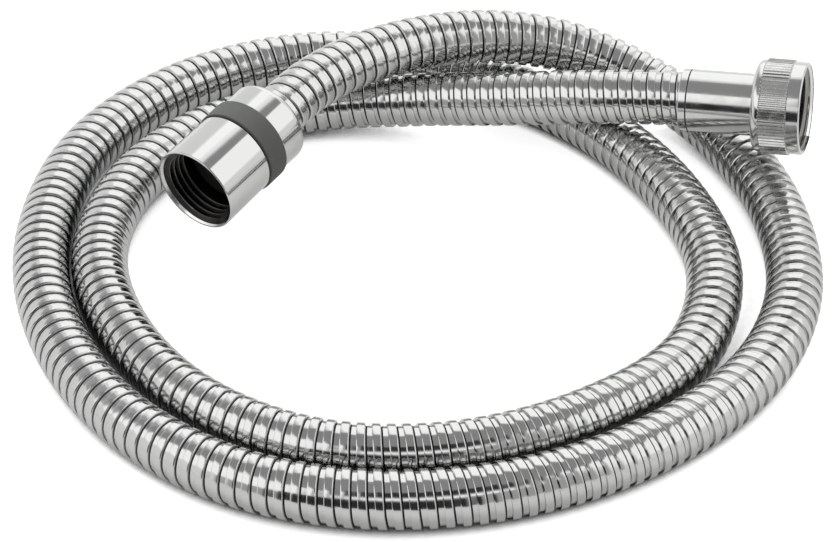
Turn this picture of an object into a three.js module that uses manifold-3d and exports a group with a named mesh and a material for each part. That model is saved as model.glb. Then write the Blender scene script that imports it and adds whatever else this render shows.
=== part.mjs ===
import * as THREE from 'three';
import { mergeVertices } from 'three/addons/utils/BufferGeometryUtils.js';
import Module from 'manifold-3d';

// A metal-armoured shower hose lying in two loose turns, with a captive threaded nut at each end.
// Lengths are in millimetres, angles in degrees, and +Z is up.

const wasm = await Module();
wasm.setup();

// Running and assembly clearance between neighbouring pieces
const clearance = 0.3;

// Hose: a spiral metal armour round a rubber liner
const hoseDiameter = 14;
const armourWall = 1.5;
const linerPlay = 0.5;
const linerWall = 1.1;
const armourSides = 12;
const linerSides = 8;
const hoseSteps = 62;

// Half inch pipe thread in both nuts
const threadMajorDiameter = 20.955;
const threadDepth = 1.162;
const mouthRelief = 0.15;
const mouthReliefDepth = 1.2;

// Ferrules: turned sleeves that hold the ends of armour and liner
const ferruleWall = 0.6;
const armourSeatDepth = 12;
const ferruleRimRound = 0.4;

// Inserts: flanged spigots with a barbed tail inside the liner
const insertBoreDiameter = 5;
const shankWall = 1.8;
const barbCount = 3;
const barbPitch = 3;
const barbHeight = 0.4;
const flangeThickness = 1.5;

// Sealing washers
const washerThickness = 2;
const washerHoleDiameter = 10.5;

// Supply end: a knurled nut that turns on a long plain ferrule
const supplyFerruleShown = 19;
const supplyNutWall = 1.25;
const supplyBackWall = 1.5;
const supplyThreadDepth = 7;
const supplyShoulderRound = 1.6;
const supplyMouthChamfer = 0.4;
const supplyFrontBand = 3.4;
const supplyRearBand = 2.3;
const knurlCount = 72;
const knurlHeight = 0.35;
const knurlCrestShare = 0.4;
const knurlRootShare = 0.3;
const knurlRootLift = 0.05;

// Handset end: a smooth nut, a rubber grip ring and a round-shouldered collar
const handsetNeckShown = 2.5;
const handsetNutWall = 1;
const handsetNutTaper = 0.2;
const handsetBackWall = 2;
const handsetThreadDepth = 9.9;
const handsetMouthChamfer = 0.3;
const handsetRearRound = 0.3;
const collarStep = 0.2;
const collarLength = 8.7;
const collarShoulderRound = 2.2;
const spigotShare = 0.26;
const gripRingWidth = 6.2;
const gripRingProud = 0.2;
const gripRingEdge = 0.3;

// Facets round the turned pieces
const nutSegments = 36;
const sleeveSegments = 36;
const insertSegments = 24;
const roundDivisions = 4;

// Where each ferrule's open end lies, and which way its nut points
const handsetNeckPlace = new THREE.Vector3(-35.2, 40.4, 23.1);
const handsetHeading = 234;
const handsetRise = -7;
const supplyNeckPlace = new THREE.Vector3(67.5, 44.5, 24.5);
const supplyHeading = -15;
const supplyRise = 5;

// The hose's centre line from the handset end to the supply end, chosen by hand.
// It leaves the handset fitting over two strands, runs down to the floor, goes round twice,
// climbs over its own inner turn and ends above its outer turn.
const hoseLeadOut = 5;
const hosePoints = [
  [-26.5, 51.5, 24.5], [-15.5, 61, 25], [0.5, 70, 24.5], [18.5, 75.5, 22.8], [36, 77, 19.3], [53, 74, 14],
  [67.5, 65, 10], [79.5, 50.5, 7.5], [90, 23.5, 7], [92, -12, 7], [80.5, -43, 7], [56, -68, 7],
  [25, -83.5, 7], [-9.5, -88, 7], [-42, -80, 7], [-69.5, -58.5, 7], [-87.5, -26, 7], [-93, 9.5, 7],
  [-84.5, 47.5, 7], [-61.5, 75, 7], [-31.5, 88, 7], [-3, 87, 7], [23.5, 75, 7], [47, 56, 7],
  [65, 28, 7], [73, -4.5, 7], [64.5, -37, 7], [40, -59, 7], [8.5, -71, 7], [-23, -70, 7],
  [-50.5, -55, 7], [-70, -29, 7], [-78.5, 3, 7], [-71, 35, 7], [-52, 56.5, 7], [-25.5, 65.5, 8],
  [0.5, 63.5, 11], [22, 57.5, 15.5], [44, 50.5, 21],
];

// Sizes that follow from the ones above
const hoseRadius = hoseDiameter / 2;
const armourBoreRadius = hoseRadius - armourWall;
const linerRadius = armourBoreRadius - linerPlay;
const linerBoreRadius = linerRadius - linerWall;
const linerBoreFlat = linerBoreRadius * Math.cos(Math.PI / linerSides);
const barbCrestRadius = linerBoreFlat - clearance;
const barbRootRadius = barbCrestRadius - barbHeight;
const insertBoreRadius = insertBoreDiameter / 2;
const shankRadius = insertBoreRadius + shankWall;
const ferruleBoreRadius = hoseRadius + clearance;
const ferruleRadius = ferruleBoreRadius + ferruleWall;
const threadMajorRadius = threadMajorDiameter / 2;
const threadMinorRadius = threadMajorRadius - threadDepth;
const mouthRadius = threadMajorRadius + mouthRelief;
const flangeRadius = threadMinorRadius - clearance;
const nutHoleRadius = ferruleRadius + clearance;
const supplyNutRadius = threadMajorRadius + supplyNutWall;
const handsetNutRadius = threadMajorRadius + handsetNutWall;
const collarRadius = handsetNutRadius - handsetNutTaper - collarStep;
const collarBoreRadius = ferruleRadius + clearance;
const gripRingRadius = handsetNutRadius + gripRingProud;
const spigotRadius = collarBoreRadius + spigotShare * (gripRingRadius - collarBoreRadius);
const gripRingBoreRadius = spigotRadius + clearance;

// Stations along each fitting's axis, measured outwards from the open end of its ferrule
const supplyStations = nutStations(supplyFerruleShown, supplyBackWall, supplyThreadDepth);
const collarFront = handsetNeckShown + collarLength;
const gripRingBack = collarFront + clearance;
const gripRingFront = gripRingBack + gripRingWidth;
const handsetStations = nutStations(gripRingFront + clearance, handsetBackWall, handsetThreadDepth);

function nutStations(nutBack, backWall, threadDepth) {
  const flangeBack = nutBack + backWall + clearance;
  const flangeFront = flangeBack + flangeThickness;
  const washerBack = flangeFront + clearance;
  const washerFront = washerBack + washerThickness;
  return {
    nutBack,
    backWallFront: nutBack + backWall,
    ferruleEnd: flangeBack - clearance,
    flangeBack,
    flangeFront,
    washerBack,
    washerFront,
    mouth: washerFront + threadDepth,
  };
}

// A material for each finish
function finish(name, colour, roughness, metalness) {
  return new THREE.MeshStandardMaterial({ name, color: colour, roughness, metalness });
}

const chrome = finish('polished chrome', 0xd9dbde, 0.1, 1);
const brass = finish('turned brass', 0xc2a14e, 0.35, 1);
const greyRubber = finish('grey rubber', 0x5f625f, 0.85, 0);
const blackRubber = finish('black rubber', 0x1d1d1e, 0.9, 0);

// Geometry with one vertex at each place
function welded(geometry) {
  geometry.deleteAttribute('normal');
  geometry.deleteAttribute('uv');
  return mergeVertices(geometry, 1e-5);
}

// A turned piece: a closed outline of radius and height, revolved round the Y axis
function turned(outline, segments) {
  const points = outline.getPoints(roundDivisions);
  points.push(points[0].clone());
  if (THREE.ShapeUtils.area(points) < 0) {
    points.reverse();
  }
  return welded(new THREE.LatheGeometry(points, segments));
}

function outlineFrom(points) {
  const outline = new THREE.Path();
  outline.moveTo(points[0][0], points[0][1]);
  for (const [radius, height] of points.slice(1)) {
    outline.lineTo(radius, height);
  }
  return outline;
}

function asManifold(geometry) {
  const vertProperties = new Float32Array(geometry.attributes.position.array);
  const triVerts = new Uint32Array(geometry.index.array);
  return new wasm.Manifold(new wasm.Mesh({ numProp: 3, vertProperties, triVerts }));
}

function asGeometry(manifold) {
  const mesh = manifold.getMesh();
  const geometry = new THREE.BufferGeometry();
  geometry.setAttribute('position', new THREE.BufferAttribute(mesh.vertProperties, 3));
  geometry.setIndex(new THREE.BufferAttribute(mesh.triVerts, 1));
  return geometry;
}

// A regular outline, for a hose section or a round hole
function ringPoints(radius, sides) {
  const points = [];
  for (let side = 0; side < sides; side += 1) {
    const angle = (2 * Math.PI * side) / sides;
    points.push(new THREE.Vector2(radius * Math.cos(angle), radius * Math.sin(angle)));
  }
  return points;
}

function hoseTube(path, outerRadius, innerRadius, sides) {
  const section = new THREE.Shape(ringPoints(outerRadius, sides));
  section.holes.push(new THREE.Path(ringPoints(innerRadius, sides)));
  const options = { steps: hoseSteps, bevelEnabled: false, extrudePath: path };
  return welded(new THREE.ExtrudeGeometry(section, options));
}

// A ferrule: open at the hose, with a step that the hose ends butt against
function ferruleOutline(stations) {
  const step = armourSeatDepth + clearance;
  const shankHole = shankRadius + clearance;
  const outline = new THREE.Path();
  outline.moveTo(ferruleBoreRadius, 0);
  outline.lineTo(ferruleRadius - ferruleRimRound, 0);
  outline.absarc(ferruleRadius - ferruleRimRound, ferruleRimRound, ferruleRimRound, -Math.PI / 2, 0, false);
  outline.lineTo(ferruleRadius, stations.ferruleEnd);
  outline.lineTo(shankHole, stations.ferruleEnd);
  outline.lineTo(shankHole, step);
  outline.lineTo(ferruleBoreRadius, step);
  return outline;
}

// An insert: barbed tail, shank through the ferrule and the flange that the nut pulls on
function insertOutline(stations) {
  const tailEnd = armourSeatDepth - barbCount * barbPitch;
  const points = [[insertBoreRadius, tailEnd], [barbRootRadius, tailEnd]];
  for (let barb = 0; barb < barbCount; barb += 1) {
    const crest = tailEnd + (barb + 1) * barbPitch - clearance;
    points.push([barbCrestRadius, crest]);
    points.push([barbRootRadius, crest]);
  }
  points.push([barbRootRadius, armourSeatDepth + clearance]);
  points.push([shankRadius, armourSeatDepth + clearance]);
  points.push([shankRadius, stations.flangeBack]);
  points.push([flangeRadius, stations.flangeBack]);
  points.push([flangeRadius, stations.flangeFront]);
  points.push([insertBoreRadius, stations.flangeFront]);
  return outlineFrom(points);
}

function washerOutline(stations) {
  const hole = washerHoleDiameter / 2;
  return outlineFrom([
    [hole, stations.washerBack], [flangeRadius, stations.washerBack],
    [flangeRadius, stations.washerFront], [hole, stations.washerFront],
  ]);
}

// The inside of a nut, from the edge of its mouth to the hole in its back wall
function addNutBore(outline, stations) {
  const reliefEnd = stations.mouth - mouthReliefDepth;
  outline.lineTo(mouthRadius, stations.mouth);
  outline.lineTo(mouthRadius, reliefEnd);
  outline.lineTo(threadMinorRadius, reliefEnd - (mouthRadius - threadMinorRadius));
  outline.lineTo(threadMinorRadius, stations.backWallFront);
  outline.lineTo(nutHoleRadius, stations.backWallFront);
}

function supplyNutOutline() {
  const { nutBack, mouth } = supplyStations;
  const round = supplyShoulderRound;
  const outline = new THREE.Path();
  outline.moveTo(nutHoleRadius, nutBack);
  outline.lineTo(supplyNutRadius - round, nutBack);
  outline.absarc(supplyNutRadius - round, nutBack + round, round, -Math.PI / 2, 0, false);
  outline.lineTo(supplyNutRadius, mouth - supplyMouthChamfer);
  outline.lineTo(supplyNutRadius - supplyMouthChamfer, mouth);
  addNutBore(outline, supplyStations);
  return outline;
}

// The straight knurl: a band of flat-topped teeth, sunk into the nut's wall
function knurlBand() {
  const rootRadius = supplyNutRadius + knurlRootLift;
  const crestRadius = rootRadius + knurlHeight;
  const tooth = (2 * Math.PI) / knurlCount;
  const flank = (1 - knurlCrestShare - knurlRootShare) / 2;
  const corners = [
    [0, rootRadius], [knurlRootShare, rootRadius],
    [knurlRootShare + flank, crestRadius], [1 - flank, crestRadius],
  ];
  const points = [];
  for (let index = 0; index < knurlCount; index += 1) {
    for (const [share, radius] of corners) {
      const angle = (index + share - knurlRootShare / 2) * tooth;
      points.push(new THREE.Vector2(radius * Math.cos(angle), radius * Math.sin(angle)));
    }
  }
  const section = new THREE.Shape(points);
  section.holes.push(new THREE.Path(ringPoints(threadMajorRadius + supplyNutWall / 2, knurlCount / 2)));
  const length = supplyStations.mouth - supplyStations.nutBack - supplyFrontBand - supplyRearBand;
  const band = new THREE.ExtrudeGeometry(section, { depth: length, bevelEnabled: false });
  band.rotateX(-Math.PI / 2);
  band.translate(0, supplyStations.nutBack + supplyRearBand, 0);
  return welded(band);
}

function supplyNutGeometry() {
  const body = asManifold(turned(supplyNutOutline(), nutSegments));
  return asGeometry(body.add(asManifold(knurlBand())));
}

function handsetNutOutline() {
  const { nutBack, mouth } = handsetStations;
  const backRadius = handsetNutRadius - handsetNutTaper;
  const outline = new THREE.Path();
  outline.moveTo(nutHoleRadius, nutBack);
  outline.lineTo(backRadius - handsetRearRound, nutBack);
  outline.lineTo(backRadius, nutBack + handsetRearRound);
  outline.lineTo(handsetNutRadius, mouth - handsetMouthChamfer);
  outline.lineTo(handsetNutRadius - handsetMouthChamfer, mouth);
  addNutBore(outline, handsetStations);
  return outline;
}

// The collar behind the handset nut, with the spigot that carries the grip ring
function collarOutline() {
  const round = collarShoulderRound;
  const outline = new THREE.Path();
  outline.moveTo(collarBoreRadius, handsetNeckShown);
  outline.lineTo(collarRadius - round, handsetNeckShown);
  outline.absarc(collarRadius - round, handsetNeckShown + round, round, -Math.PI / 2, 0, false);
  outline.lineTo(collarRadius, collarFront);
  outline.lineTo(spigotRadius, collarFront);
  outline.lineTo(spigotRadius, gripRingFront);
  outline.lineTo(collarBoreRadius, gripRingFront);
  return outline;
}

function gripRingOutline() {
  const edge = gripRingEdge;
  return outlineFrom([
    [gripRingBoreRadius, gripRingBack], [gripRingRadius - edge, gripRingBack],
    [gripRingRadius, gripRingBack + edge], [gripRingRadius, gripRingFront - edge],
    [gripRingRadius - edge, gripRingFront], [gripRingBoreRadius, gripRingFront],
  ]);
}

// A fitting's group stands at the open end of its ferrule, with its Y axis pointing out of the nut
function directionOf(heading, rise) {
  const turn = THREE.MathUtils.degToRad(heading);
  const lift = THREE.MathUtils.degToRad(rise);
  return new THREE.Vector3(Math.cos(lift) * Math.cos(turn), Math.cos(lift) * Math.sin(turn), Math.sin(lift));
}

function fittingGroup(place, direction) {
  const group = new THREE.Group();
  group.position.copy(place);
  group.quaternion.setFromUnitVectors(new THREE.Vector3(0, 1, 0), direction);
  return group;
}

function namedMesh(name, geometry, material) {
  const mesh = new THREE.Mesh(geometry, material);
  mesh.name = name;
  return mesh;
}

const handsetDirection = directionOf(handsetHeading, handsetRise);
const supplyDirection = directionOf(supplyHeading, supplyRise);

function alongFrom(place, direction, distance) {
  return place.clone().addScaledVector(direction, distance);
}

// One path serves armour and liner, so that the liner keeps its play all the way round
function hosePath() {
  const points = [
    alongFrom(handsetNeckPlace, handsetDirection, armourSeatDepth),
    handsetNeckPlace,
    alongFrom(handsetNeckPlace, handsetDirection, -hoseLeadOut),
    ...hosePoints.map(([x, y, z]) => new THREE.Vector3(x, y, z)),
    alongFrom(supplyNeckPlace, supplyDirection, -hoseLeadOut),
    supplyNeckPlace,
    alongFrom(supplyNeckPlace, supplyDirection, armourSeatDepth),
  ];
  return new THREE.CatmullRomCurve3(points, false, 'centripetal');
}

const part = new THREE.Group();

const path = hosePath();
part.add(namedMesh('hose_armour', hoseTube(path, hoseRadius, armourBoreRadius, armourSides), chrome));
part.add(namedMesh('hose_liner', hoseTube(path, linerRadius, linerBoreRadius, linerSides), blackRubber));

const supplyEnd = fittingGroup(supplyNeckPlace, supplyDirection);
supplyEnd.add(namedMesh('supply_ferrule', turned(ferruleOutline(supplyStations), sleeveSegments), chrome));
supplyEnd.add(namedMesh('supply_insert', turned(insertOutline(supplyStations), insertSegments), brass));
supplyEnd.add(namedMesh('supply_washer', turned(washerOutline(supplyStations), insertSegments), blackRubber));
supplyEnd.add(namedMesh('supply_nut', supplyNutGeometry(), chrome));
part.add(supplyEnd);

const handsetEnd = fittingGroup(handsetNeckPlace, handsetDirection);
handsetEnd.add(namedMesh('handset_ferrule', turned(ferruleOutline(handsetStations), sleeveSegments), chrome));
handsetEnd.add(namedMesh('handset_insert', turned(insertOutline(handsetStations), insertSegments), brass));
handsetEnd.add(namedMesh('handset_washer', turned(washerOutline(handsetStations), insertSegments), blackRubber));
handsetEnd.add(namedMesh('handset_nut', turned(handsetNutOutline(), sleeveSegments), chrome));
handsetEnd.add(namedMesh('rear_collar', turned(collarOutline(), sleeveSegments), chrome));
handsetEnd.add(namedMesh('grip_ring', turned(gripRingOutline(), sleeveSegments), greyRubber));
part.add(handsetEnd);

export default part;
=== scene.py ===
import math

import bmesh
import bpy
import numpy as np
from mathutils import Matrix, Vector


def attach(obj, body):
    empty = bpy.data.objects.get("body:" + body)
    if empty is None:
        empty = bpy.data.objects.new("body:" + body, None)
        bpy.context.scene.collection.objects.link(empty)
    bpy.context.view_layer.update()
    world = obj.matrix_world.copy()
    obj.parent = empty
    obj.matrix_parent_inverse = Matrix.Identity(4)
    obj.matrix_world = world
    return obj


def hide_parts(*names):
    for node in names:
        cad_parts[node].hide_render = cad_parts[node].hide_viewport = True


# A chromed shower hose in two loose turns. Lengths in the dictionaries are in millimetres
# unless a line says otherwise, and the scene is in metres.
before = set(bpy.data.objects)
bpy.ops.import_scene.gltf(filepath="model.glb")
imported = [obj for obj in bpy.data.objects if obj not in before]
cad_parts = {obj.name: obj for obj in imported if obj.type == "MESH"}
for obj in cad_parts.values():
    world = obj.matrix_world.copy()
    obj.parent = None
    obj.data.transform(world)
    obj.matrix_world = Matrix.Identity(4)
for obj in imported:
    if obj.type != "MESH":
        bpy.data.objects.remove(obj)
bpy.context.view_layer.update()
mm = 0.001
print("frame loaded")


def clearSelection():
    if bpy.context.mode != "OBJECT":
        bpy.ops.object.mode_set(mode="OBJECT")
    bpy.ops.object.select_all(action="DESELECT")


def headingDirection(heading, rise):
    turn, lift = math.radians(heading), math.radians(rise)
    return Vector((math.cos(lift) * math.cos(turn), math.cos(lift) * math.sin(turn), math.sin(lift)))


# Camera at the photograph's viewing angle
cameraSetup = {
    "target": (0, 5, 0), "distance": 850, "elevation": 38, "lens": 147.24, "sensor": 36, "nearest": 10,
}


def makeCamera(setup):
    down = math.radians(setup["elevation"])
    back = Vector((0, -math.cos(down), math.sin(down))) * setup["distance"]
    place = (Vector(setup["target"]) + back) * mm
    bpy.ops.object.camera_add(location=place, rotation=(math.radians(90) - down, 0, 0))
    camera = bpy.context.object
    camera.data.lens = setup["lens"]
    camera.data.sensor_width = setup["sensor"]
    camera.data.clip_start = setup["nearest"] * mm
    bpy.context.scene.camera = camera


clearSelection()
makeCamera(cameraSetup)
bpy.context.scene.view_settings.view_transform = "Standard"
print("camera made")

# Where each fitting starts, at the open end of its ferrule, and which way its nut points
handsetEnd = {"neck": (-35.2, 40.4, 23.1), "heading": 234, "rise": -7}
supplyEnd = {"neck": (67.5, 44.5, 24.5), "heading": -15, "rise": 5}

# The hose's own route in metres, from the handset end to the supply end
hoseRoute = [
    (-0.0265, 0.0515, 0.0245), (-0.0155, 0.061, 0.025), (0.0005, 0.07, 0.0245), (0.0185, 0.0755, 0.0228),
    (0.036, 0.077, 0.0193), (0.053, 0.074, 0.014), (0.0675, 0.065, 0.01), (0.0795, 0.0505, 0.0075),
    (0.09, 0.0235, 0.007), (0.092, -0.012, 0.007), (0.0805, -0.043, 0.007), (0.056, -0.068, 0.007),
    (0.025, -0.0835, 0.007), (-0.0095, -0.088, 0.007), (-0.042, -0.08, 0.007), (-0.0695, -0.0585, 0.007),
    (-0.0875, -0.026, 0.007), (-0.093, 0.0095, 0.007), (-0.0845, 0.0475, 0.007), (-0.0615, 0.075, 0.007),
    (-0.0315, 0.088, 0.007), (-0.003, 0.087, 0.007), (0.0235, 0.075, 0.007), (0.047, 0.056, 0.007),
    (0.065, 0.028, 0.007), (0.073, -0.0045, 0.007), (0.0645, -0.037, 0.007), (0.04, -0.059, 0.007),
    (0.0085, -0.071, 0.007), (-0.023, -0.07, 0.007), (-0.0505, -0.055, 0.007), (-0.07, -0.029, 0.007),
    (-0.0785, 0.003, 0.007), (-0.071, 0.035, 0.007), (-0.052, 0.0565, 0.007), (-0.0255, 0.0655, 0.008),
    (0.0005, 0.0635, 0.011), (0.022, 0.0575, 0.0155), (0.044, 0.0505, 0.021),
]

# The armour is one folded strip wound in a right-handed spiral: a proud crest, a step down to the
# shelf that slides under the next crest in a bend, and the seam where it does so, painted dark as shade.
armour = {
    "diameter": 14, "pitch": 3.65, "columns": 30, "seat": 12, "leadOut": 5, "spanSteps": 24, "pathStep": 0.4,
    "capDepth": 3, "crestBack": 1.1, "crestFront": 1.04, "frontRound": 0.24,
    "frontDrop": 0.14, "frontLean": 0.04, "backRound": 0.36, "shelfDrop": 0.6, "seamDrop": 0.86,
    "seamWidth": 0.36, "sharpAngle": 50,
}

# Corners of the crest's rounded back edge: how far in from the edge, and how far below the top
backCorners = ((0, 0.42), (0.06, 0.2), (0.18, 0.06))


def routePoints():
    points = []
    for end, side in ((handsetEnd, 1), (supplyEnd, -1)):
        neck = Vector(end["neck"]) * mm
        direction = headingDirection(end["heading"], end["rise"])
        steps = [armour["seat"], 0, -armour["leadOut"]][::side]
        points.append([neck + direction * step * mm for step in steps])
    return [tuple(p) for p in points[0]] + hoseRoute + [tuple(p) for p in points[1]]


# Centripetal Catmull-Rom through the points, as in the solids
def curveThrough(points, spanSteps):
    points = np.array(points)
    ends = np.vstack([2 * points[0] - points[1], points, 2 * points[-1] - points[-2]])
    before, start, end, after = ends[:-3], ends[1:-2], ends[2:-1], ends[3:]
    spans = ((before, start), (start, end), (end, after))
    gaps = [np.sqrt(np.linalg.norm(far - near, axis=1))[:, None] for near, far in spans]
    first = ((start - before) / gaps[0] - (end - before) / (gaps[0] + gaps[1])
             + (end - start) / gaps[1]) * gaps[1]
    last = ((end - start) / gaps[1] - (after - start) / (gaps[1] + gaps[2])
            + (after - end) / gaps[2]) * gaps[1]
    rows = []
    for step in range(spanSteps):
        t = step / spanSteps
        rows.append((2 * start - 2 * end + first + last) * t ** 3
                    + (3 * end - 3 * start - 2 * first - last) * t ** 2 + first * t + start)
    return np.vstack([np.stack(rows, axis=1).reshape(-1, 3), points[-1]])


# Points at even distances along the path, and the path's length
def evenly(points, step):
    lengths = np.concatenate([[0], np.cumsum(np.linalg.norm(np.diff(points, axis=0), axis=1))])
    count = int(lengths[-1] / step)
    places = np.linspace(0, lengths[-1], count + 1)
    even = np.stack([np.interp(places, lengths, points[:, axis]) for axis in range(3)], axis=1)
    return even, lengths[-1]


# A frame that doesn't twist is carried along the path, so the spiral's pitch stays true
def carriedFrames(points):
    tangents = np.gradient(points, axis=0)
    tangents /= np.linalg.norm(tangents, axis=1)[:, None]
    sides = np.zeros_like(points)
    side = np.cross(tangents[0], (0, 0, 1.0))
    for index, tangent in enumerate(tangents):
        side = side - tangent * side.dot(tangent)
        side /= np.linalg.norm(side)
        sides[index] = side
    return tangents, sides, np.cross(tangents, sides)


# Each point: the crest it belongs to (this one or the next), its distance from that crest's middle,
# and its radius. The crest's back edge is well rounded, its front edge is nearly sharp.
def armourProfile():
    radius, back, front = armour["diameter"] / 2, armour["crestBack"], armour["crestFront"]
    shelf, seamWidth = radius - armour["shelfDrop"], armour["seamWidth"]
    profile = [
        (0, armour["backRound"] - back, radius), (0, front - armour["frontRound"], radius),
        (0, front, radius - armour["frontDrop"]), (0, front + armour["frontLean"], shelf),
        (1, -back - seamWidth, shelf), (1, -back - seamWidth / 2, radius - armour["seamDrop"]),
    ]
    return profile + [(1, inward - back, radius - drop) for inward, drop in backCorners]


# The faces that start at these rows of the profile are the seam, which is painted dark as shade
seamRows = (4, 5)


def makeArmour():
    path, length = evenly(curveThrough(routePoints(), armour["spanSteps"]), armour["pathStep"] * mm)
    tangents, sides, ups = carriedFrames(path)
    stations = np.linspace(0, length, len(path))
    bends = np.gradient(tangents, stations, axis=0)
    profile = armourProfile()
    rows, columns, pitch = len(profile), armour["columns"], armour["pitch"] * mm
    turns = int(length / pitch) - 1
    angles = 2 * np.pi * np.arange(columns) / columns

    def along(values, at):
        return np.stack([np.interp(at, stations, values[:, axis]) for axis in range(3)], axis=-1)

    def outwardAt(at):
        return (np.cos(angles)[None, :, None] * along(sides, at)
                + np.sin(angles)[None, :, None] * along(ups, at))

    coordinates = np.zeros((turns * rows, columns, 3))
    around = np.zeros((turns * rows, columns, 2))
    for number, (crest, offset, radius) in enumerate(profile):
        middle = (np.arange(turns)[:, None] + crest + angles[None] / (2 * np.pi)) * pitch
        middle = np.clip(middle, 0, length)
        # a bend opens the winding on its outer side and closes it on its inner side
        stretch = 1 - radius * mm * np.sum(along(bends, middle) * outwardAt(middle), axis=-1)
        at = np.clip(middle + offset * mm / stretch, 0, length)
        coordinates[number::rows] = along(path, at) + outwardAt(at) * radius * mm
        around[number::rows, :, 0] = at / pitch
        around[number::rows, :, 1] = angles[None] / (2 * np.pi)
    total = turns * rows
    work = bmesh.new()
    corners = [[work.verts.new(place) for place in row] for row in coordinates]
    uvLayer = work.loops.layers.uv.new("winding")
    for row in range(total - 1):
        for column in range(columns):
            # past the last column the surface goes on one turn further along
            last = column == columns - 1
            across = row + rows if last else row
            if across + 1 >= total:
                continue
            side = 0 if last else column + 1
            face = work.faces.new((corners[row][column], corners[across][side],
                                   corners[across + 1][side], corners[row + 1][column]))
            face.smooth = True
            # the seam faces take the second material, painted dark as shade
            face.material_index = 1 if row % rows in seamRows else 0
            marks = (around[row, column], around[across, side],
                     around[across + 1, side], around[row + 1, column])
            for loop, mark, far in zip(face.loops, marks, (False, True, True, False)):
                loop[uvLayer].uv = (mark[0], 1.0 if last and far else mark[1])
    # each end is closed by a fan to a point inside the ferrule
    first = corners[0] + [corners[row][0] for row in range(rows, 0, -1)]
    final = corners[-1] + [corners[row][-1] for row in range(total - 2, total - 2 - rows, -1)]
    for loop, depth in ((first, armour["capDepth"] * mm), (final, length - armour["capDepth"] * mm)):
        centre = work.verts.new(along(path, np.array([depth]))[0])
        for one, two in zip(loop, loop[1:] + loop[:1]):
            work.faces.new((one, two, centre))
    bmesh.ops.recalc_face_normals(work, faces=work.faces)
    mesh = bpy.data.meshes.new("spiral_armour")
    work.to_mesh(mesh)
    work.free()
    piece = bpy.data.objects.new("spiral_armour", mesh)
    bpy.context.collection.objects.link(piece)
    return piece, path, length


# Smooth shading that follows the broad faces, so flats and barrels stay true between their edges
def smoothShade(piece, angle):
    clearSelection()
    piece.select_set(True)
    bpy.context.view_layer.objects.active = piece
    bpy.ops.object.shade_smooth_by_angle(angle=math.radians(angle))
    even = piece.modifiers.new("broad faces first", "WEIGHTED_NORMAL")
    even.mode = "FACE_AREA"
    even.keep_sharp = True
    bpy.ops.object.modifier_apply(modifier=even.name)


spiralArmour, hosePath, hoseLength = makeArmour()
smoothShade(spiralArmour, armour["sharpAngle"])
print("armour made:", len(spiralArmour.data.polygons), "faces,", round(hoseLength, 3), "m")


# A color code as it is written for a screen, made linear for the shaders
def linearColor(code):
    channels = [int(code[start:start + 2], 16) / 255 for start in (0, 2, 4)]
    return tuple(c / 12.92 if c <= 0.04045 else ((c + 0.055) / 1.055) ** 2.4 for c in channels) + (1.0,)


# Adds a node; an input given as a socket is linked, and any other value is set
def addNode(tree, kind, settings=None, inputs=None):
    node = tree.nodes.new(kind)
    for key, value in (settings or {}).items():
        setattr(node, key, value)
    for key, value in (inputs or {}).items():
        if isinstance(value, bpy.types.NodeSocket):
            tree.links.new(value, node.inputs[key])
        else:
            node.inputs[key].default_value = value
    return node


def newMaterial(name):
    material = bpy.data.materials.new(name)
    material.use_nodes = True
    material.node_tree.nodes.clear()
    return material, material.node_tree


# How many times a pattern of a real size fits in a metre
def perMetre(size):
    return 1 / (size * mm)


# Chromium plate over turned brass: mirror bright, with a faint ripple from the plating bath, and
# polishing marks that make it duller in places, up to this many times
plating = {"markSize": 2.5, "rippleSize": 6, "dullest": 1.9}


def chromeMaterial(name, color, roughness, ripple):
    material, tree = newMaterial(name)
    place = addNode(tree, "ShaderNodeTexCoord").outputs["Object"]
    marks = addNode(tree, "ShaderNodeTexNoise", inputs={
        "Vector": place, "Scale": perMetre(plating["markSize"]), "Detail": 4.0})
    rough = addNode(tree, "ShaderNodeMapRange", inputs={
        "Value": marks.outputs["Fac"], "From Min": 0.35, "From Max": 0.7,
        "To Min": roughness, "To Max": roughness * plating["dullest"]})
    waves = addNode(tree, "ShaderNodeTexNoise", inputs={
        "Vector": place, "Scale": perMetre(plating["rippleSize"]), "Detail": 1.0})
    bump = addNode(tree, "ShaderNodeBump", inputs={
        "Height": waves.outputs["Fac"], "Distance": ripple * mm, "Strength": 1.0})
    shader = addNode(tree, "ShaderNodeBsdfPrincipled", inputs={
        "Base Color": linearColor(color), "Metallic": 1.0, "Roughness": rough.outputs["Result"],
        "Normal": bump.outputs["Normal"]})
    addNode(tree, "ShaderNodeOutputMaterial", inputs={"Surface": shader.outputs["BSDF"]})
    return material


# Chromed steel strip, rolled and folded: drawn streaks run round with the winding
strip = {
    "color": "C8C9C7", "streakWidth": 0.35, "streaksRound": 5.0, "smooth": 0.09, "dull": 0.17, "depth": 0.008,
}


def stripMaterial():
    material, tree = newMaterial("chromed_strip")
    winding = addNode(tree, "ShaderNodeUVMap", {"uv_map": "winding"}).outputs["UV"]
    stretch = addNode(tree, "ShaderNodeMapping", inputs={
        "Vector": winding, "Scale": (armour["pitch"] / strip["streakWidth"], strip["streaksRound"], 1.0)})
    streaks = addNode(tree, "ShaderNodeTexNoise", inputs={
        "Vector": stretch.outputs["Vector"], "Scale": 1.0, "Detail": 3.0})
    rough = addNode(tree, "ShaderNodeMapRange", inputs={
        "Value": streaks.outputs["Fac"], "From Min": 0.3, "From Max": 0.7,
        "To Min": strip["smooth"], "To Max": strip["dull"]})
    bump = addNode(tree, "ShaderNodeBump", inputs={
        "Height": streaks.outputs["Fac"], "Distance": strip["depth"] * mm, "Strength": 1.0})
    shader = addNode(tree, "ShaderNodeBsdfPrincipled", inputs={
        "Base Color": linearColor(strip["color"]), "Metallic": 1.0, "Roughness": rough.outputs["Result"],
        "Normal": bump.outputs["Normal"]})
    addNode(tree, "ShaderNodeOutputMaterial", inputs={"Surface": shader.outputs["BSDF"]})
    return material
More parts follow.
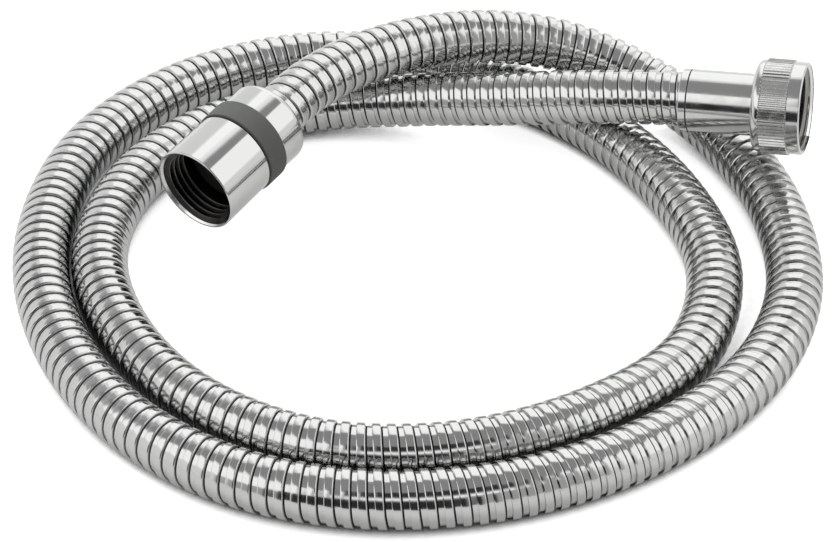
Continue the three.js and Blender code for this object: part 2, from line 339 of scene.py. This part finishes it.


# The seam between two turns of the strip, and the ferrule's groove: bare steel edges painted dark as shade,
# its tone varying in soft patches
seam = {"dark": "66686A", "pale": "808284", "patchSize": 1.5, "roughness": 0.35}


def paintedShadeMaterial():
    material, tree = newMaterial("seam_painted_shade")
    place = addNode(tree, "ShaderNodeTexCoord").outputs["Object"]
    shadePatches = addNode(tree, "ShaderNodeTexNoise", inputs={
        "Vector": place, "Scale": perMetre(seam["patchSize"]), "Detail": 3.0})
    tone = addNode(tree, "ShaderNodeMix", {"data_type": "RGBA"}, {
        "Factor": shadePatches.outputs["Fac"], "A": linearColor(seam["dark"]), "B": linearColor(seam["pale"])})
    shader = addNode(tree, "ShaderNodeBsdfPrincipled", inputs={
        "Base Color": tone.outputs["Result"], "Metallic": 1.0, "Roughness": seam["roughness"]})
    addNode(tree, "ShaderNodeOutputMaterial", inputs={"Surface": shader.outputs["BSDF"]})
    return material


# Moulded rubber: matte, with a fine grain that the mould leaves, and broad patches a shade paler
rubber = {"patchSize": 9, "unevenness": 0.08, "refraction": 1.5}


def rubberMaterial(name, dark, pale, roughness, grain, depth):
    material, tree = newMaterial(name)
    place = addNode(tree, "ShaderNodeTexCoord").outputs["Object"]
    fine = addNode(tree, "ShaderNodeTexNoise", inputs={
        "Vector": place, "Scale": perMetre(grain), "Detail": 4.0})
    broad = addNode(tree, "ShaderNodeTexNoise", inputs={
        "Vector": place, "Scale": perMetre(rubber["patchSize"]), "Detail": 2.0})
    tone = addNode(tree, "ShaderNodeMix", {"data_type": "RGBA"}, {
        "Factor": broad.outputs["Fac"], "A": linearColor(dark), "B": linearColor(pale)})
    rough = addNode(tree, "ShaderNodeMapRange", inputs={
        "Value": fine.outputs["Fac"], "To Min": roughness - rubber["unevenness"],
        "To Max": roughness + rubber["unevenness"]})
    bump = addNode(tree, "ShaderNodeBump", inputs={
        "Height": fine.outputs["Fac"], "Distance": depth * mm, "Strength": 1.0})
    shader = addNode(tree, "ShaderNodeBsdfPrincipled", inputs={
        "Base Color": tone.outputs["Result"], "Roughness": rough.outputs["Result"],
        "IOR": rubber["refraction"], "Normal": bump.outputs["Normal"]})
    addNode(tree, "ShaderNodeOutputMaterial", inputs={"Surface": shader.outputs["BSDF"]})
    return material


# Turned brass: unplated inside the fittings, browner and duller where it has tarnished
brass = {"dark": "8A6A2E", "pale": "C9A352", "tarnishSize": 2, "smooth": 0.28, "dull": 0.45}


def brassMaterial():
    material, tree = newMaterial("turned_brass")
    place = addNode(tree, "ShaderNodeTexCoord").outputs["Object"]
    tarnish = addNode(tree, "ShaderNodeTexNoise", inputs={
        "Vector": place, "Scale": perMetre(brass["tarnishSize"]), "Detail": 5.0})
    tone = addNode(tree, "ShaderNodeMix", {"data_type": "RGBA"}, {
        "Factor": tarnish.outputs["Fac"], "A": linearColor(brass["dark"]), "B": linearColor(brass["pale"])})
    rough = addNode(tree, "ShaderNodeMapRange", inputs={
        "Value": tarnish.outputs["Fac"], "To Min": brass["smooth"], "To Max": brass["dull"]})
    shader = addNode(tree, "ShaderNodeBsdfPrincipled", inputs={
        "Base Color": tone.outputs["Result"], "Metallic": 1.0, "Roughness": rough.outputs["Result"]})
    addNode(tree, "ShaderNodeOutputMaterial", inputs={"Surface": shader.outputs["BSDF"]})
    return material


# Plate by its color, roughness and ripple in millimetres. Full bright on the smooth nut and collar,
# a little softer on the supply fitting, satin where it is thin, and painted dark as shade in the bores.
chromedStrip = stripMaterial()
# Painted shade for the armour's seam and the ferrule's groove
paintedShadeSteel = paintedShadeMaterial()
platedBrass = chromeMaterial("chrome_plated_brass", "CBCCCA", 0.05, 0.01)
satinPlate = chromeMaterial("satin_chrome_plate", "D8D9D7", 0.17, 0.01)
satinBand = chromeMaterial("brushed_chrome_plate", "CBCCCA", 0.1, 0.01)
greyGrip = rubberMaterial("moulded_grey_rubber", "555754", "5F615D", 0.72, 0.22, 0.012)
# Painted shade in the nut bores: darkest in the handset nut, paler on the thread crests, palest in the supply
# nut
handsetBoreShade = chromeMaterial("handset_bore_painted_shade", "3E3D3B", 0.25, 0.02)
crestShade = chromeMaterial("thread_crest_painted_shade", "6A6967", 0.25, 0.02)
supplyBoreShade = chromeMaterial("supply_bore_painted_shade", "8E8D8A", 0.22, 0.02)
blackSeal = rubberMaterial("black_washer_rubber", "121213", "1E1E20", 0.6, 0.3, 0.015)
innerBrass = brassMaterial()


# Turned pieces: an outline of (radius, height) corners, closed on itself, is spun round the axis.
# They are turned upright at the origin, then laid along their fitting. Edges sharper than the
# bevel's angle, in degrees, are rounded where a piece has a rounding, and edges sharper than its
# sharp angle stay crisp in the shading.
turning = {"steps": 128, "weld": 0.002, "bevelSegments": 3, "bevelAngle": 28, "sharpAngle": 40}


def turnPiece(name, outline, steps=turning["steps"], rounding=0):
    clearSelection()
    bpy.ops.mesh.primitive_circle_add(vertices=len(outline), radius=mm)
    piece = bpy.context.object
    piece.name = piece.data.name = name
    for corner, (radius, height) in zip(piece.data.vertices, outline):
        corner.co = (radius * mm, 0, height * mm)
    bpy.ops.object.mode_set(mode="EDIT")
    bpy.ops.mesh.select_all(action="SELECT")
    bpy.ops.mesh.spin(steps=steps, angle=2 * math.pi, center=(0, 0, 0), axis=(0, 0, 1))
    bpy.ops.mesh.select_all(action="SELECT")
    bpy.ops.mesh.remove_doubles(threshold=turning["weld"] * mm)
    bpy.ops.mesh.normals_make_consistent(inside=False)
    bpy.ops.object.mode_set(mode="OBJECT")
    if rounding:
        bevel = piece.modifiers.new("rounded edges", "BEVEL")
        bevel.width = rounding * mm
        bevel.segments = turning["bevelSegments"]
        bevel.limit_method = "ANGLE"
        bevel.angle_limit = math.radians(turning["bevelAngle"])
        bpy.ops.object.modifier_apply(modifier=bevel.name)
    return piece


# A right-handed thread: one tooth's outline wound up inside the nut, its ends closed
def windThread(name, thread):
    clearSelection()
    outline = [
        (thread["root"], -thread["foot"]), (thread["crest"] + thread["tipRound"], -thread["tip"]),
        (thread["crest"], -thread["tip"] / 2), (thread["crest"], thread["tip"] / 2),
        (thread["crest"] + thread["tipRound"], thread["tip"]), (thread["root"], thread["foot"]),
    ]
    bpy.ops.mesh.primitive_circle_add(vertices=len(outline), radius=mm)
    piece = bpy.context.object
    piece.name = piece.data.name = name
    for corner, (radius, height) in zip(piece.data.vertices, outline):
        corner.co = (radius * mm, 0, (thread["start"] + height) * mm)
    winding = piece.modifiers.new("winding", "SCREW")
    winding.steps = winding.render_steps = thread["steps"]
    winding.iterations = thread["turns"]
    winding.screw_offset = thread["pitch"] * mm
    bpy.ops.object.modifier_apply(modifier=winding.name)
    # the first turn is cut back by the countersink at the mouth, the last one runs out at the back
    for corner in piece.data.vertices:
        height = corner.co.z / mm
        radius = math.hypot(corner.co.x, corner.co.y) / mm
        least = thread["crest"] + max(0, height - thread["chamferStart"], thread["runOut"] - height)
        if radius < least:
            grown = min(least, thread["root"]) / radius
            corner.co.x *= grown
            corner.co.y *= grown
    bpy.ops.object.mode_set(mode="EDIT")
    bpy.ops.mesh.select_all(action="SELECT")
    bpy.ops.mesh.fill_holes(sides=0)
    bpy.ops.mesh.select_all(action="SELECT")
    bpy.ops.mesh.normals_make_consistent(inside=False)
    bpy.ops.object.mode_set(mode="OBJECT")
    return piece


def joinPieces(pieces):
    clearSelection()
    for piece in pieces:
        piece.select_set(True)
    bpy.context.view_layer.objects.active = pieces[0]
    bpy.ops.object.join()
    return pieces[0]


# Lays a finished piece along its fitting, with the turn and the place put into its mesh
def layAlong(piece, end, sharpAngle=turning["sharpAngle"]):
    smoothShade(piece, sharpAngle)
    piece.rotation_mode = "QUATERNION"
    direction = headingDirection(end["heading"], end["rise"])
    piece.rotation_quaternion = Vector((0, 0, 1)).rotation_difference(direction)
    piece.location = Vector(end["neck"]) * mm
    bpy.ops.object.transform_apply(location=True, rotation=True, scale=True)


def arcPoints(centre, radius, start, stop, steps):
    angles = [math.radians(start + (stop - start) * step / steps) for step in range(steps + 1)]
    return [(centre[0] + radius * math.cos(a), centre[1] + radius * math.sin(a)) for a in angles]


# The bore of a nut, from the mouth's inner edge to the hole in its back wall
nutBore = {
    "lip": 11.06, "lipStep": 0.17, "chamfer": 0.6, "mouth": 10.52, "relief": 1.2, "reliefRamp": 0.1,
    "root": 10.48, "hole": 8.2, "backRim": 0.15,
}


# From the flat lip a small step leads to the chamfer, then the relief before the thread
def boreOutline(mouth, backWallFront, back):
    step, chamfer = mouth - nutBore["lipStep"], nutBore["chamfer"]
    return [
        (nutBore["lip"], mouth), (nutBore["lip"], step), (nutBore["mouth"], step - chamfer),
        (nutBore["mouth"], mouth - nutBore["relief"]),
        (nutBore["root"], mouth - nutBore["relief"] - nutBore["reliefRamp"]),
        (nutBore["root"], backWallFront), (nutBore["hole"], backWallFront), (nutBore["hole"], back),
    ]


# Plating is thin and satin on the chamfer and the relief. Past them the bore and the thread are
# painted dark as shade, and the thread's crest a paler painted shade of its own. The first material
# is the plate, the second the bore's painted shade, and the third is satin on the nut and the crest's painted
# shade on the thread.
def finishNut(nut, thread, threadSize, mouth, plate, boreShade):
    for material in (plate, boreShade, satinPlate):
        nut.data.materials.append(material)
    for face in nut.data.polygons:
        reach, height = math.hypot(face.center.x, face.center.y) / mm, face.center.z / mm
        if reach < nutBore["mouth"] and height < mouth - nutBore["relief"]:
            face.material_index = 1
        elif reach < nutBore["lip"]:
            face.material_index = 2
    for material in (plate, boreShade, crestShade):
        thread.data.materials.append(material)
    for face in thread.data.polygons:
        reach = math.hypot(face.center.x, face.center.y) / mm
        face.material_index = 2 if reach < threadSize["crest"] + threadSize["tipRound"] else 1
    return joinPieces([nut, thread])


# Supply nut: a straight knurl between two smooth bands
supplyNut = {
    "radius": 11.73, "back": 19, "backWallFront": 20.5, "mouth": 31.6, "shoulder": 1.6, "shoulderSteps": 8,
    "lip": 0.4, "lipSteps": 5, "knurlStart": 21.3, "knurlEnd": 28.2, "bandGroove": 0.12, "toothRamp": 0.16,
    "teeth": 72, "toothHeight": 0.35, "toothColumns": 4, "raisedColumns": (1, 2), "sharpAngle": 30,
}
supplyThread = {
    "root": 10.56, "crest": 9.32, "foot": 0.84, "tip": 0.2, "tipRound": 0.12, "pitch": 1.814, "turns": 3,
    "steps": 72, "start": 25.6, "chamferStart": 29.9, "runOut": 25.2,
}


def makeSupplyNut(size):
    radius, round_, lip = size["radius"], size["shoulder"], size["lip"]
    ramp, groove = size["toothRamp"], size["bandGroove"]
    outline = [(nutBore["hole"] + nutBore["backRim"], size["back"])]
    outline += arcPoints((radius - round_, size["back"] + round_), round_, -90, 0, size["shoulderSteps"])
    outline += [
        (radius, size["knurlStart"] - ramp), (radius - groove, size["knurlStart"]),
        (radius, size["knurlStart"] + ramp), (radius, size["knurlEnd"] - ramp),
        (radius - groove, size["knurlEnd"]), (radius, size["knurlEnd"] + ramp),
    ]
    outline += arcPoints((radius - lip, size["mouth"] - lip), lip, 0, 90, size["lipSteps"])
    outline += boreOutline(size["mouth"], size["backWallFront"], size["back"])
    columns = size["teeth"] * size["toothColumns"]
    nut = turnPiece("supply_nut_body", outline, columns)
    # the teeth are pressed up out of the band between the two grooves
    for corner in nut.data.vertices:
        height = corner.co.z / mm
        reach = math.hypot(corner.co.x, corner.co.y) / mm
        inBand = size["knurlStart"] + ramp / 2 < height < size["knurlEnd"] - ramp / 2
        if inBand and reach > radius - groove / 2:
            column = round(math.atan2(corner.co.y, corner.co.x) / (2 * math.pi) * columns)
            if column % size["toothColumns"] in size["raisedColumns"]:
                grown = (reach + size["toothHeight"]) / reach
                corner.co.x *= grown
                corner.co.y *= grown
    thread = windThread("supply_thread", supplyThread)
    return finishNut(nut, thread, supplyThread, size["mouth"], satinBand, supplyBoreShade)


# Plating is satin on the pressed teeth too, so they mirror less sharply than the bands
def dullKnurl(nut, size):
    for face in nut.data.polygons:
        reach, height = math.hypot(face.center.x, face.center.y) / mm, face.center.z / mm
        if size["knurlStart"] < height < size["knurlEnd"] and reach > size["radius"] - size["bandGroove"]:
            face.material_index = 2


# Handset nut: smooth, a touch slimmer at the back, with a turned lip at the mouth
handsetNut = {
    "radius": 11.48, "backRadius": 11.28, "back": 18, "backChamfer": 0.3, "backWallFront": 20, "mouth": 34,
    "lip": 0.35, "lipSteps": 5, "rounding": 0.06,
}
handsetThread = dict(supplyThread, turns=4, start=25.9, chamferStart=32.3, runOut=25.4)


def makeHandsetNut(size):
    chamfer, lip = size["backChamfer"], size["lip"]
    outline = [(nutBore["hole"] + nutBore["backRim"], size["back"]),
               (size["backRadius"] - chamfer, size["back"]), (size["backRadius"], size["back"] + chamfer)]
    outline += arcPoints((size["radius"] - lip, size["mouth"] - lip), lip, 0, 90, size["lipSteps"])
    outline += boreOutline(size["mouth"], size["backWallFront"], size["back"])
    nut = turnPiece("handset_nut_body", outline, rounding=size["rounding"])
    thread = windThread("handset_thread", handsetThread)
    return finishNut(nut, thread, handsetThread, size["mouth"], platedBrass, handsetBoreShade)


# Collar behind the grip ring: a rounded shoulder down to the sleeve
rearCollar = {
    "radius": 11.08, "start": 2.5, "front": 11.2, "shoulder": 2.2, "shoulderSteps": 12, "bore": 8.2,
    "spigot": 9.1, "spigotEnd": 17.7, "rounding": 0.12,
}


def makeRearCollar(size):
    radius, round_ = size["radius"], size["shoulder"]
    outline = [(size["bore"], size["start"])]
    outline += arcPoints((radius - round_, size["start"] + round_), round_, -90, 0, size["shoulderSteps"])
    outline += [(radius, size["front"]), (size["spigot"], size["front"]),
                (size["spigot"], size["spigotEnd"]), (size["bore"], size["spigotEnd"])]
    piece = turnPiece("rear_collar_shell", outline, rounding=size["rounding"])
    piece.data.materials.append(platedBrass)
    return piece


# Grip ring: soft edges, a touch proud of the metal on either side
gripRing = {"radius": 11.68, "bore": 9.4, "start": 11.5, "end": 17.7, "edge": 0.35, "edgeSteps": 5}


def makeGripRing(size):
    edge, steps = size["edge"], size["edgeSteps"]
    outline = [(size["bore"], size["start"])]
    outline += arcPoints((size["radius"] - edge, size["start"] + edge), edge, -90, 0, steps)
    outline += arcPoints((size["radius"] - edge, size["end"] - edge), edge, 0, 90, steps)
    outline += [(size["bore"], size["end"])]
    piece = turnPiece("grip_ring_band", outline)
    piece.data.materials.append(greyGrip)
    return piece


# Ferrules: the hose goes in at the open end; a rolled groove behind it grips the armour
ferrule = {
    "radius": 7.9, "bore": 7.3, "edge": 0.3, "edgeSteps": 4, "grooveAt": 2.1, "grooveWidth": 0.17,
    "grooveDrop": 0.4, "shank": 4.6, "step": 12.3, "supplyLength": 20.5, "handsetLength": 20, "steps": 96,
    "rounding": 0.03,
}


def makeFerrule(name, size, end, grooved):
    edge = size["edge"]
    outline = arcPoints((size["radius"] - edge, edge), edge, -90, 0, size["edgeSteps"])
    if grooved:
        outline += [(size["radius"], size["grooveAt"] - size["grooveWidth"]),
                    (size["radius"] - size["grooveDrop"], size["grooveAt"]),
                    (size["radius"], size["grooveAt"] + size["grooveWidth"])]
    outline += [(size["radius"], end), (size["shank"], end), (size["shank"], size["step"]),
                (size["bore"], size["step"]), (size["bore"], 0)]
    piece = turnPiece(name, outline, size["steps"], rounding=size["rounding"])
    piece.data.materials.append(satinBand)
    piece.data.materials.append(paintedShadeSteel)
    # painted shade in the groove, from a quarter of its depth down
    grooveTop = size["radius"] - size["grooveDrop"] / 4
    for face in piece.data.polygons:
        reach = math.hypot(face.center.x, face.center.y) / mm
        atGroove = abs(face.center.z / mm - size["grooveAt"]) < size["grooveWidth"]
        face.material_index = 1 if atGroove and size["bore"] < reach < grooveTop else 0
    return piece


# Washers: flat rubber rings with softened edges
washer = {
    "radius": 9.02, "hole": 5.25, "thickness": 2, "supplySeat": 22.6, "handsetSeat": 22.1, "steps": 64,
    "rounding": 0.25,
}


def makeWasher(name, size, back):
    front = back + size["thickness"]
    outline = [(size["hole"], back), (size["radius"], back), (size["radius"], front), (size["hole"], front)]
    piece = turnPiece(name, outline, size["steps"], rounding=size["rounding"])
    piece.data.materials.append(blackSeal)
    return piece


supplyNutPiece = makeSupplyNut(supplyNut)
dullKnurl(supplyNutPiece, supplyNut)
handsetNutPiece = makeHandsetNut(handsetNut)
collarPiece = makeRearCollar(rearCollar)
gripPiece = makeGripRing(gripRing)
supplySleeve = makeFerrule("supply_sleeve", ferrule, ferrule["supplyLength"], grooved=True)
handsetSleeve = makeFerrule("handset_sleeve", ferrule, ferrule["handsetLength"], grooved=False)
supplySeal = makeWasher("supply_seal", washer, washer["supplySeat"])
handsetSeal = makeWasher("handset_seal", washer, washer["handsetSeat"])
layAlong(supplyNutPiece, supplyEnd, supplyNut["sharpAngle"])
for piece in (supplySleeve, supplySeal):
    layAlong(piece, supplyEnd)
for piece in (handsetNutPiece, collarPiece, gripPiece, handsetSleeve, handsetSeal):
    layAlong(piece, handsetEnd)
print("fittings made")

# Each piece takes the place of a plain solid and rides on its body; each row gives the piece, its solid, its
# body and its material slot
for piece, nodeName, body, slot in (
        (supplyNutPiece, "supply_nut", "supply_swivel", "fitting_chrome"),
        (supplySleeve, "supply_ferrule", "hose", "fitting_chrome"),
        (supplySeal, "supply_washer", "supply_swivel", "washer_rubber"),
        (handsetNutPiece, "handset_nut", "handset_swivel", "fitting_chrome"),
        (collarPiece, "rear_collar", "hose", "fitting_chrome"),
        (gripPiece, "grip_ring", "hose", "grip_rubber"),
        (handsetSleeve, "handset_ferrule", "hose", "fitting_chrome"),
        (handsetSeal, "handset_washer", "handset_swivel", "washer_rubber")):
    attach(piece, body)
    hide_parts(nodeName)

spiralArmour.data.materials.append(chromedStrip)
spiralArmour.data.materials.append(paintedShadeSteel)
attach(spiralArmour, "hose")
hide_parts("hose_armour")
# The path it reports is every eighth point of the one it was wound on
[tuple(p) for p in hosePath[::8]]
# The liner and the inserts stay as the solids have them
for nodeName, material in (
        ("hose_liner", blackSeal), ("supply_insert", innerBrass), ("handset_insert", innerBrass)):
    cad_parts[nodeName].data.materials.clear()
    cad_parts[nodeName].data.materials.append(material)
print("materials set")


# 1 for rays that should meet a white background; what metal sees of it can be turned down
def backgroundRays(tree, inMetal=1.0):
    path = addNode(tree, "ShaderNodeLightPath")
    beyond = addNode(tree, "ShaderNodeMath", {"operation": "MAXIMUM"}, {
        0: path.outputs["Is Glossy Ray"], 1: path.outputs["Is Transmission Ray"]})
    dimmed = addNode(tree, "ShaderNodeMath", {"operation": "MULTIPLY"}, {
        0: beyond.outputs["Value"], 1: inMetal})
    return addNode(tree, "ShaderNodeMath", {"operation": "MAXIMUM"}, {
        0: path.outputs["Is Camera Ray"], 1: dimmed.outputs["Value"]}).outputs["Value"]


# Floor: matte white paper under a soft shadow. It is lifted to white where it is open to the sky,
# and where strands shut it in, within the reach below, the lift fades and its colour is painted dark as
# shade. Metal sees less of the lift.
floor = {
    "size": 8000, "color": "D0D0CF", "shade": "242424", "lift": 0.8, "inMetal": 0.3, "reach": 9, "shut": 0.2,
    "open": 0.34, "samples": 8,
}


def makeFloor(setup):
    clearSelection()
    bpy.ops.mesh.primitive_plane_add(size=setup["size"] * mm, location=(0, 0, 0))
    piece = bpy.context.object
    piece.name = "paper_floor"
    material, tree = newMaterial("white_paper")
    openness = addNode(tree, "ShaderNodeAmbientOcclusion", {"samples": setup["samples"]}, {
        "Distance": setup["reach"] * mm})
    clear = addNode(tree, "ShaderNodeMapRange", {"interpolation_type": "SMOOTHSTEP"}, {
        "Value": openness.outputs["AO"], "From Min": setup["shut"], "From Max": setup["open"]})
    # the paper's colour goes to the painted shade where the strands shut it in
    tone = addNode(tree, "ShaderNodeMix", {"data_type": "RGBA"}, {
        "Factor": clear.outputs["Result"], "A": linearColor(setup["shade"]),
        "B": linearColor(setup["color"])})
    shader = addNode(tree, "ShaderNodeBsdfDiffuse", inputs={"Color": tone.outputs["Result"]})
    lifted = addNode(tree, "ShaderNodeMath", {"operation": "MULTIPLY"}, {
        0: clear.outputs["Result"], 1: setup["lift"]})
    strength = addNode(tree, "ShaderNodeMath", {"operation": "MULTIPLY"}, {
        0: lifted.outputs["Value"], 1: backgroundRays(tree, setup["inMetal"])})
    lift = addNode(tree, "ShaderNodeEmission", inputs={"Strength": strength.outputs["Value"]})
    both = addNode(tree, "ShaderNodeAddShader", inputs={
        0: shader.outputs["BSDF"], 1: lift.outputs["Emission"]})
    addNode(tree, "ShaderNodeOutputMaterial", inputs={"Surface": both.outputs["Shader"]})
    piece.data.materials.append(material)


# Directions in the studio: bearing 0 is the camera's side, positive to its right, and height is
# the angle above the floor, both in degrees
def toward(bearing, height, distance):
    across, lift = math.radians(bearing), math.radians(height)
    level = math.cos(lift)
    return Vector((level * math.sin(across), -level * math.cos(across), math.sin(lift))) * distance


# A studio card is a grid bent to its place, with an even glow and a soft edge. Only reflections
# see it. The place of a point comes from its share of the way across and up, both 0 to 1.
cardGrid = {"across": 16, "up": 8}


def makeCard(name, placeAt, glow, edge):
    clearSelection()
    bpy.ops.mesh.primitive_grid_add(
        x_subdivisions=cardGrid["across"], y_subdivisions=cardGrid["up"], size=1)
    card = bpy.context.object
    card.name = name
    # the flat grid reaches half a unit to each side of its middle
    for vertex in card.data.vertices:
        vertex.co = placeAt(vertex.co.x + 0.5, vertex.co.y + 0.5)
    material, tree = newMaterial(name + "_surface")
    unwrapped = addNode(tree, "ShaderNodeUVMap")
    place = addNode(tree, "ShaderNodeSeparateXYZ", inputs={"Vector": unwrapped.outputs["UV"]})
    fades = []
    for axis in ("X", "Y"):
        inward = addNode(tree, "ShaderNodeMath", {"operation": "PINGPONG"}, {0: place.outputs[axis], 1: 0.5})
        fades.append(addNode(tree, "ShaderNodeMapRange", {"interpolation_type": "SMOOTHSTEP"}, {
            "Value": inward.outputs["Value"], "From Max": edge}).outputs["Result"])
    cover = addNode(tree, "ShaderNodeMath", {"operation": "MULTIPLY"}, {0: fades[0], 1: fades[1]})
    clear = addNode(tree, "ShaderNodeBsdfTransparent")
    light = addNode(tree, "ShaderNodeEmission", inputs={"Strength": glow})
    mixed = addNode(tree, "ShaderNodeMixShader", inputs={
        0: cover.outputs["Value"], 1: clear.outputs["BSDF"], 2: light.outputs["Emission"]})
    addNode(tree, "ShaderNodeOutputMaterial", inputs={"Surface": mixed.outputs["Shader"]})
    card.data.materials.append(material)
    card.visible_camera = card.visible_diffuse = card.visible_shadow = card.visible_transmission = False


# Overhead: a grey ceiling panel, in metres, by its back left, back right, front left and front
# right corners. It is the grey band on top of the nuts and strands.
ceiling = {
    "corners": ((-1.25, 0.74), (0.92, 0.51), (-0.3, -1.05), (0.62, -1.0)), "height": 1.3, "glow": 0.36,
    "edge": 0.06,
}


def makeCeiling(setup):
    corners = [Vector(corner + (setup["height"],)) for corner in setup["corners"]]
    backLeft, backRight, frontLeft, frontRight = corners

    def placeAt(u, v):
        return frontLeft.lerp(frontRight, u).lerp(backLeft.lerp(backRight, u), v)

    makeCard("ceiling_panel", placeAt, setup["glow"], setup["edge"])


# The cards round the hose: (left bearing, right bearing, low edge, high edge), distance in metres.
# Two black cards with a bright strip between them draw the dark and light lines that run along
# the front of each strand.
cards = {
    "back_softbox": {"span": (144, 195, 8, 66), "distance": 3.2, "glow": 1.5, "edge": 0.12},
    "right_softbox": {"span": (48, 128, 12, 62), "distance": 2.6, "glow": 1.4, "edge": 0.12},
    "left_softbox": {"span": (-104, -21, 25, 60), "distance": 1.8, "glow": 1.45, "edge": 0.12},
    "back_left_wall": {"span": (200, 268, 29, 64), "distance": 2.2, "glow": 0.5, "edge": 0.12},
    "front_wall": {"span": (-54, 52, 1, 60), "distance": 2.4, "glow": 0.5, "edge": 0.06},
    "front_black_high": {"span": (-20, 34, 42, 60), "distance": 0.5, "glow": 0.04, "edge": 0.1},
    "front_strip": {"span": (-24, 34, 31.5, 40), "distance": 0.51, "glow": 1.4, "edge": 0.25},
    "front_black_low": {"span": (-33, 19, 0.3, 29.5), "distance": 0.5, "glow": 0.03, "edge": 0.08},
}


def makeWall(name, card):
    left, right, low, high = card["span"]

    def placeAt(u, v):
        return toward(left + (right - left) * u, low + (high - low) * v, card["distance"])

    makeCard(name, placeAt, card["glow"], card["edge"])


# A soft lamp from behind, in metres and watts, that only matte surfaces see
backLamp = {"place": (-0.3, 1.1, 1.1), "size": (1.6, 1.2), "power": 20}


def makeLamp(name, setup):
    clearSelection()
    bpy.ops.object.light_add(type="AREA", location=setup["place"])
    lamp = bpy.context.object
    lamp.name = name
    lamp.data.shape = "RECTANGLE"
    lamp.data.size, lamp.data.size_y = setup["size"]
    lamp.data.energy = setup["power"]
    lamp.rotation_euler = Vector(setup["place"]).to_track_quat("Z", "Y").to_euler()
    lamp.visible_glossy = False


# The room: an even white at this strength, and at a full 1 for rays that meet the background
worldLevel = 0.7


def makeWorld(level):
    world = bpy.data.worlds.new("white_studio")
    bpy.context.scene.world = world
    world.use_nodes = True
    tree = world.node_tree
    tree.nodes.clear()
    extra = addNode(tree, "ShaderNodeMath", {"operation": "MULTIPLY"}, {
        0: backgroundRays(tree), 1: 1 - level})
    total = addNode(tree, "ShaderNodeMath", {"operation": "ADD"}, {0: extra.outputs["Value"], 1: level})
    background = addNode(tree, "ShaderNodeBackground", inputs={
        "Color": (1, 1, 1, 1), "Strength": total.outputs["Value"]})
    addNode(tree, "ShaderNodeOutputWorld", inputs={"Surface": background.outputs["Background"]})


makeFloor(floor)
makeWorld(worldLevel)
makeLamp("back_lamp", backLamp)
makeCeiling(ceiling)
for name, card in cards.items():
    makeWall(name, card)
print("stage and lights made")
